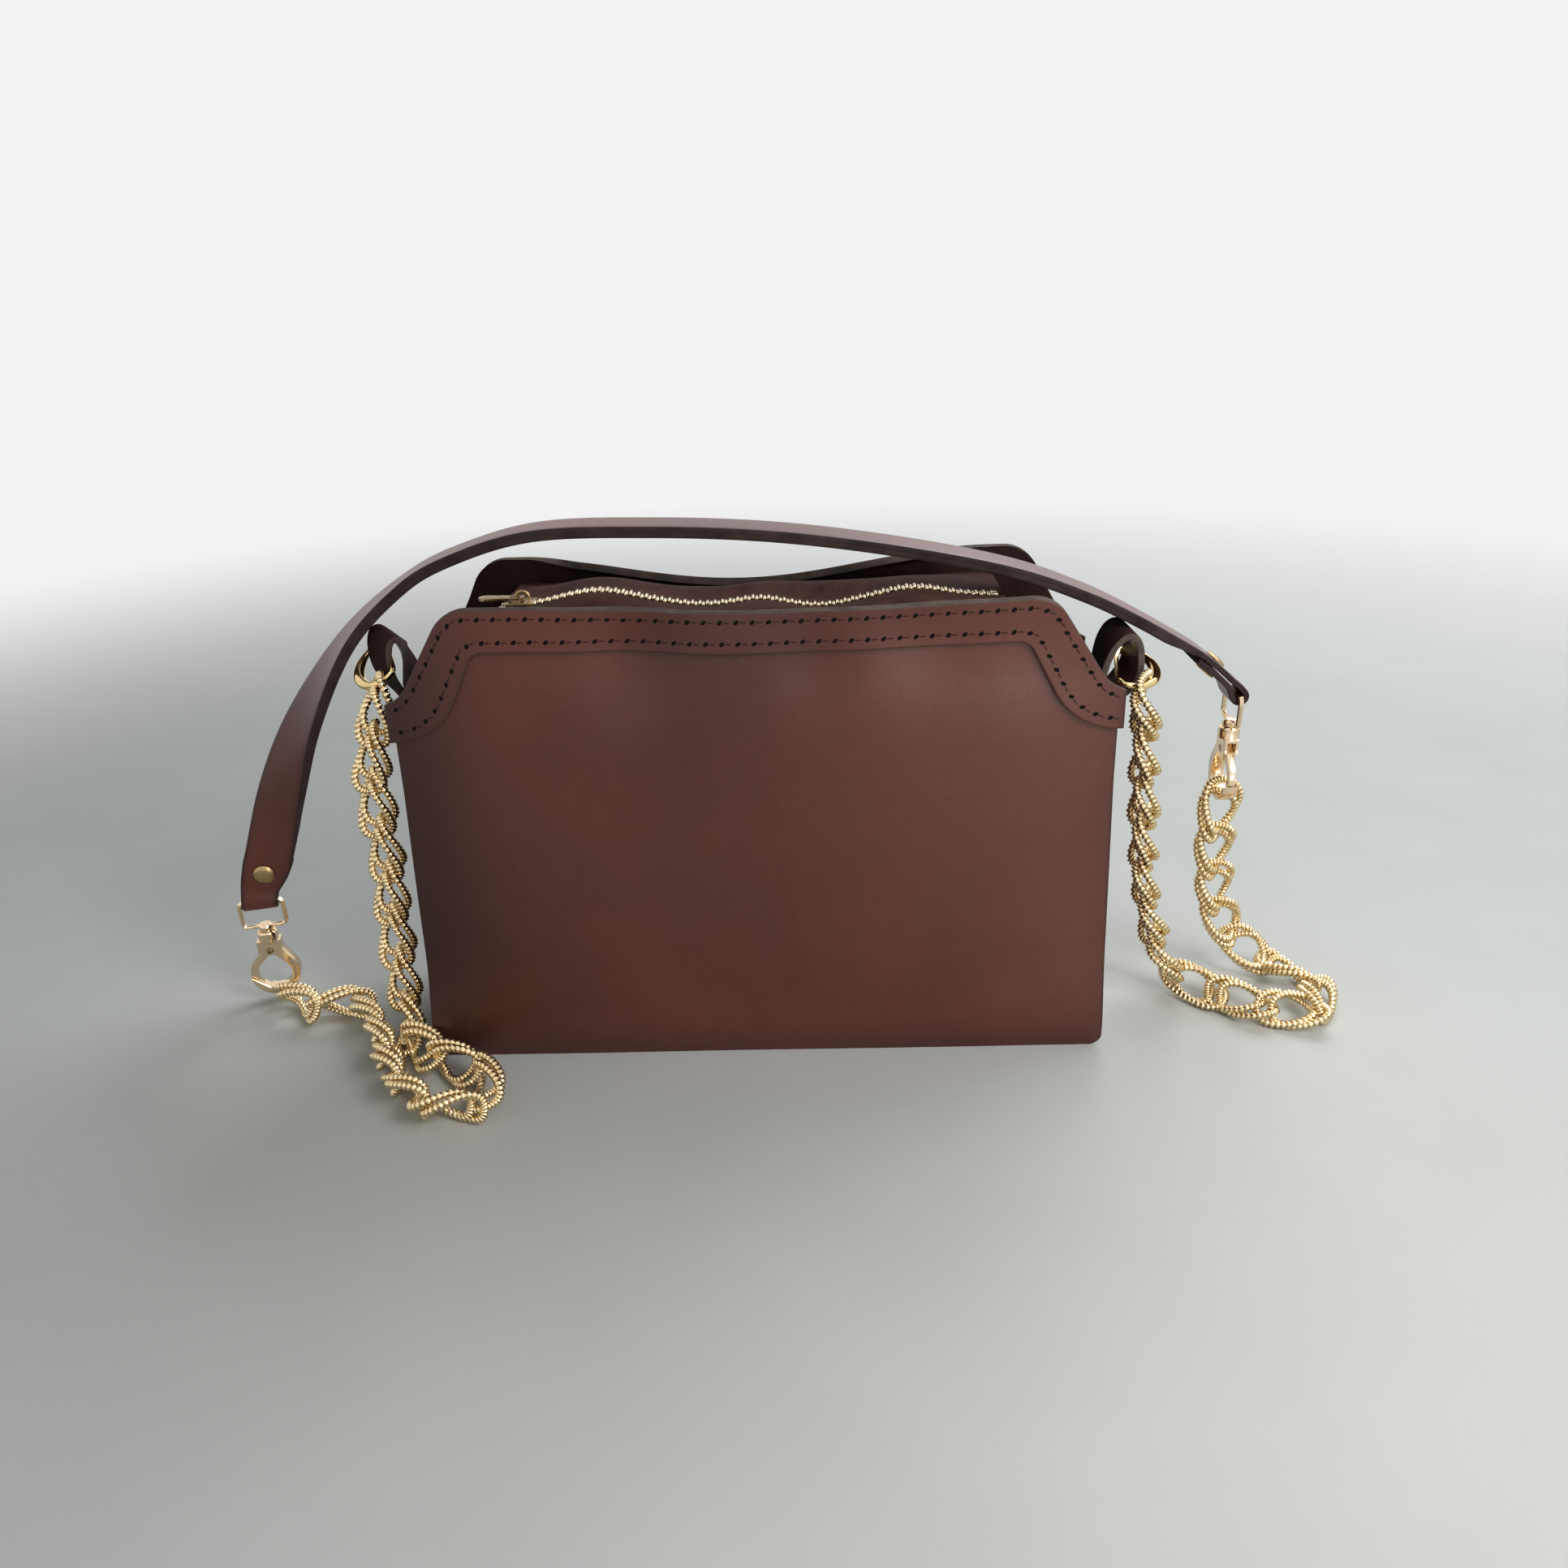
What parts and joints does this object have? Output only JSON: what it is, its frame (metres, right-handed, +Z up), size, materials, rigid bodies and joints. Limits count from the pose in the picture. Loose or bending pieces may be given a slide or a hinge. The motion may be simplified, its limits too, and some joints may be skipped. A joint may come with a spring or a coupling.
{
  "type": "evening bag",
  "caption": "Small stiff leather evening bag with a zipped top, side loops with metal rings, a short arched strap with snap hooks, and slack chains from the rings to the hooks.",
  "frame": {"origin": "centre of the flat base, on the surface the bag stands on", "axes": "+X to the right along the bag seen from its front, +Y towards its back, +Z up"},
  "size_m": [0.404, 0.1041, 0.1823],
  "materials": {
    "brown_leather": "semi-gloss finely grained dark brown leather",
    "dark_leather": "matte dark brown leather with raw edges",
    "zip_tape": "matte woven tape",
    "pale_gold": "polished pale gold plating",
    "antique_brass": "satin antique brass"
  },
  "bodies": {
    "shell": {"front_panel": "brown_leather", "back_panel": "brown_leather", "base_panel": "brown_leather", "front_facing": "brown_leather", "back_facing": "brown_leather", "zip_tape_front": "zip_tape", "zip_tape_back": "zip_tape", "zip_teeth_front": "antique_brass", "zip_teeth_back": "antique_brass", "zip_bottom_stop": "antique_brass", "zip_top_stop_front": "antique_brass", "zip_top_stop_back": "antique_brass", "strap": "brown_leather", "left_gusset": "dark_leather", "left_rivet_cap": "antique_brass", "left_rivet_base": "antique_brass", "left_chain_hanging": "pale_gold", "left_chain_floor": "pale_gold", "left_chain_hook_side": "pale_gold", "right_gusset": "dark_leather", "right_rivet_cap": "antique_brass", "right_rivet_base": "antique_brass", "right_chain_hanging": "pale_gold", "right_chain_floor": "pale_gold", "right_chain_hook_side": "pale_gold"},
    "left_ring": {"left_d_ring": "pale_gold"},
    "right_ring": {"right_d_ring": "pale_gold"},
    "zip_slider": {"zip_slider": "antique_brass"},
    "zip_pull": {"zip_pull": "antique_brass"},
    "left_eye": {"left_hook_eye": "pale_gold"},
    "left_hook": {"left_hook_body": "pale_gold", "left_hook_gate_pin": "antique_brass", "left_hook_gate_spring": "antique_brass"},
    "left_gate": {"left_hook_gate": "pale_gold"},
    "right_eye": {"right_hook_eye": "pale_gold"},
    "right_hook": {"right_hook_body": "pale_gold", "right_hook_gate_pin": "antique_brass", "right_hook_gate_spring": "antique_brass"},
    "right_gate": {"right_hook_gate": "pale_gold"}
  },
  "joints": [
    {"name": "left_ring_swing", "type": "hinge", "parent": "shell", "child": "left_ring", "pos_m": [-0.1215, -0.0005, 0.1412], "axis": [-0.4088, 0.8658, 0.2886], "range_deg": [-30, 3], "deforming": ["left_chain_hanging"]},
    {"name": "right_ring_swing", "type": "hinge", "parent": "shell", "child": "right_ring", "pos_m": [0.1206, -0.0005, 0.1312], "axis": [0.1493, 0.9457, 0.2887], "range_deg": [-50, 55], "deforming": ["right_chain_hanging"]},
    {"name": "zip_slide", "type": "slide", "parent": "shell", "child": "zip_slider", "axis": [1, 0, 0], "range_m": [0, 0.1475], "deforming": ["zip_teeth_front", "zip_teeth_back"]},
    {"name": "zip_pull_flip", "type": "hinge", "parent": "zip_slider", "child": "zip_pull", "pos_m": [-0.07465, 0, 0.15925], "axis": [0, 1, 0], "range_deg": [0, 180]},
    {"name": "left_hook_swing", "type": "hinge", "parent": "shell", "child": "left_eye", "pos_m": [-0.1905, 0.01, 0.043], "axis": [0.9659, 0.2588, 0], "range_deg": [-40, 40], "deforming": ["left_chain_hook_side"]},
    {"name": "left_hook_swivel", "type": "hinge", "parent": "left_eye", "child": "left_hook", "pos_m": [-0.1905, 0.01, 0.043], "axis": [0, 0, 1], "continuous": true},
    {"name": "left_gate_turn", "type": "hinge", "parent": "left_hook", "child": "left_gate", "pos_m": [-0.1905, 0.01, 0.0224], "axis": [0.2588, -0.9659, 0], "range_deg": [0, 26], "stiffness_Nm_per_rad": 0.02, "springref_deg": -20.05, "deforming": ["left_hook_gate_spring"]},
    {"name": "right_hook_swing", "type": "hinge", "parent": "shell", "child": "right_eye", "pos_m": [0.1625, 0.005, 0.119], "axis": [0, 1, 0], "range_deg": [-40, 40], "deforming": ["right_chain_hook_side"]},
    {"name": "right_hook_swivel", "type": "hinge", "parent": "right_eye", "child": "right_hook", "pos_m": [0.1625, 0.005, 0.119], "axis": [0, 0, 1], "continuous": true},
    {"name": "right_gate_turn", "type": "hinge", "parent": "right_hook", "child": "right_gate", "pos_m": [0.1625, 0.005, 0.0984], "axis": [1, 0, 0], "range_deg": [0, 26], "stiffness_Nm_per_rad": 0.02, "springref_deg": -20.05, "deforming": ["right_hook_gate_spring"]}
  ]
}
